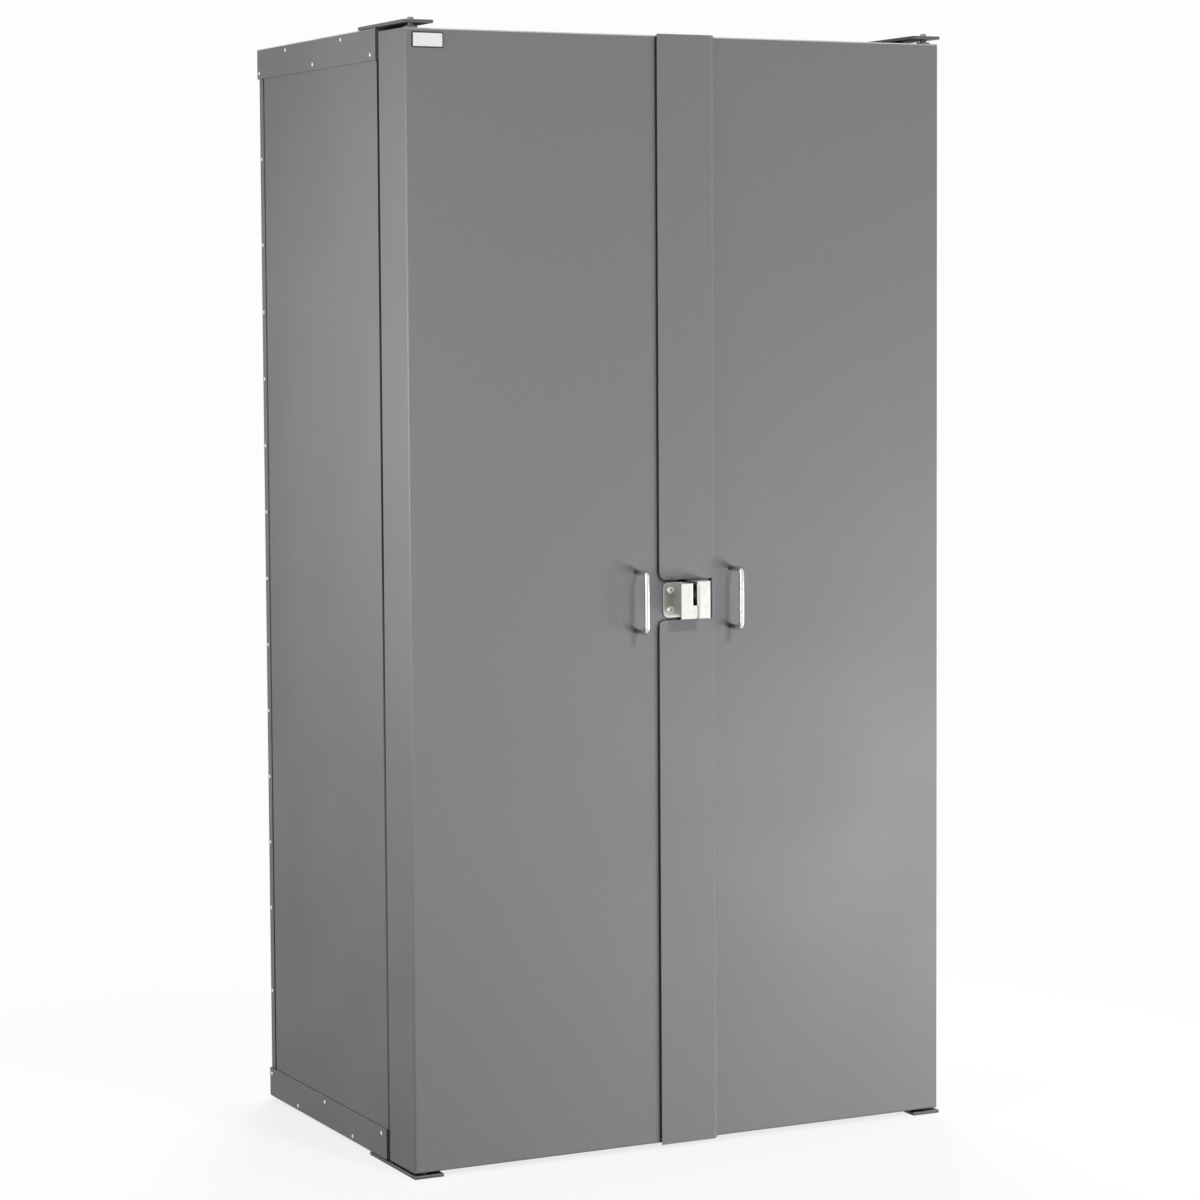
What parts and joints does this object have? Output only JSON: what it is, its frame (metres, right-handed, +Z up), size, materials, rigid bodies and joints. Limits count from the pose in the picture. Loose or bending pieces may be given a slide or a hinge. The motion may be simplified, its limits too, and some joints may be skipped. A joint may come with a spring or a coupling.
{
  "type": "tool cabinet with doors",
  "caption": "Tall steel tool cabinet with deep pan doors on corner pin hinges, a cover strip, wire pulls, a padlock hasp, louvred door liners and shelves.",
  "frame": {"origin": "on the floor, under the middle of the overall box", "axes": "+Z up, +Y from the doors to the back, +X to the right of someone who faces the doors"},
  "size_m": [0.9784, 0.6784, 1.834],
  "materials": {
    "painted_steel": "grey powder coat, fine texture, semi-matt",
    "aluminium_rivet": "bright mill finish",
    "chrome_bar": "polished chrome plate",
    "zinc_plate": "bright zinc plate",
    "plain_steel": "turned, lightly oiled"
  },
  "bodies": {
    "carcass": {"back_panel": "painted_steel", "bottom_cap": "painted_steel", "hinge_pin_bottom_left": "plain_steel", "hinge_pin_bottom_right": "plain_steel", "hinge_pin_top_left": "plain_steel", "hinge_pin_top_right": "plain_steel", "hinge_plate_bottom_left": "painted_steel", "hinge_plate_bottom_right": "painted_steel", "hinge_plate_top_left": "painted_steel", "hinge_plate_top_right": "painted_steel", "rear_feet": "painted_steel", "rivets_back": "aluminium_rivet", "rivets_side_left": "aluminium_rivet", "rivets_side_right": "aluminium_rivet", "shelf_1": "painted_steel", "shelf_2": "painted_steel", "shelf_3": "painted_steel", "shelf_4": "painted_steel", "shelf_clips": "zinc_plate", "shelf_standard_front_left": "painted_steel", "shelf_standard_front_right": "painted_steel", "shelf_standard_rear_left": "painted_steel", "shelf_standard_rear_right": "painted_steel", "side_panel_left": "painted_steel", "side_panel_right": "painted_steel", "top_cap": "painted_steel"},
    "door_left": {"door_doubler_bottom_left": "painted_steel", "door_doubler_top_left": "painted_steel", "door_pan_left": "painted_steel", "door_pull_left": "chrome_bar", "door_stiffeners_left": "painted_steel", "hasp_bolts_left": "zinc_plate", "hasp_bracket_left": "zinc_plate", "hasp_nuts_left": "zinc_plate", "hinge_bush_bottom_left": "plain_steel", "hinge_bush_top_left": "plain_steel", "liner_rivets_left": "aluminium_rivet", "louvred_liner_left": "painted_steel", "pull_screws_left": "zinc_plate"},
    "door_right": {"astragal": "painted_steel", "astragal_bars": "painted_steel", "door_doubler_bottom_right": "painted_steel", "door_doubler_top_right": "painted_steel", "door_pan_right": "painted_steel", "door_pull_right": "chrome_bar", "door_stiffeners_right": "painted_steel", "hasp_bolts_right": "zinc_plate", "hasp_bracket_right": "zinc_plate", "hasp_nuts_right": "zinc_plate", "hinge_bush_bottom_right": "plain_steel", "hinge_bush_top_right": "plain_steel", "liner_rivets_right": "aluminium_rivet", "louvred_liner_right": "painted_steel", "pull_screws_right": "zinc_plate"}
  },
  "joints": [
    {"name": "right_door_hinge", "type": "hinge", "parent": "carcass", "child": "door_right", "pos_m": [0.468, -0.27915, 0.91245], "axis": [0, 0, 1], "range_deg": [0, 240]},
    {"name": "left_door_hinge", "type": "hinge", "parent": "carcass", "child": "door_left", "pos_m": [-0.468, -0.27915, 0.91245], "axis": [0, 0, 1], "range_deg": [-240, 0]}
  ],
  "couplings": [
    {"joint": "left_door_hinge", "follows": "right_door_hinge", "ratio": -1}
  ]
}
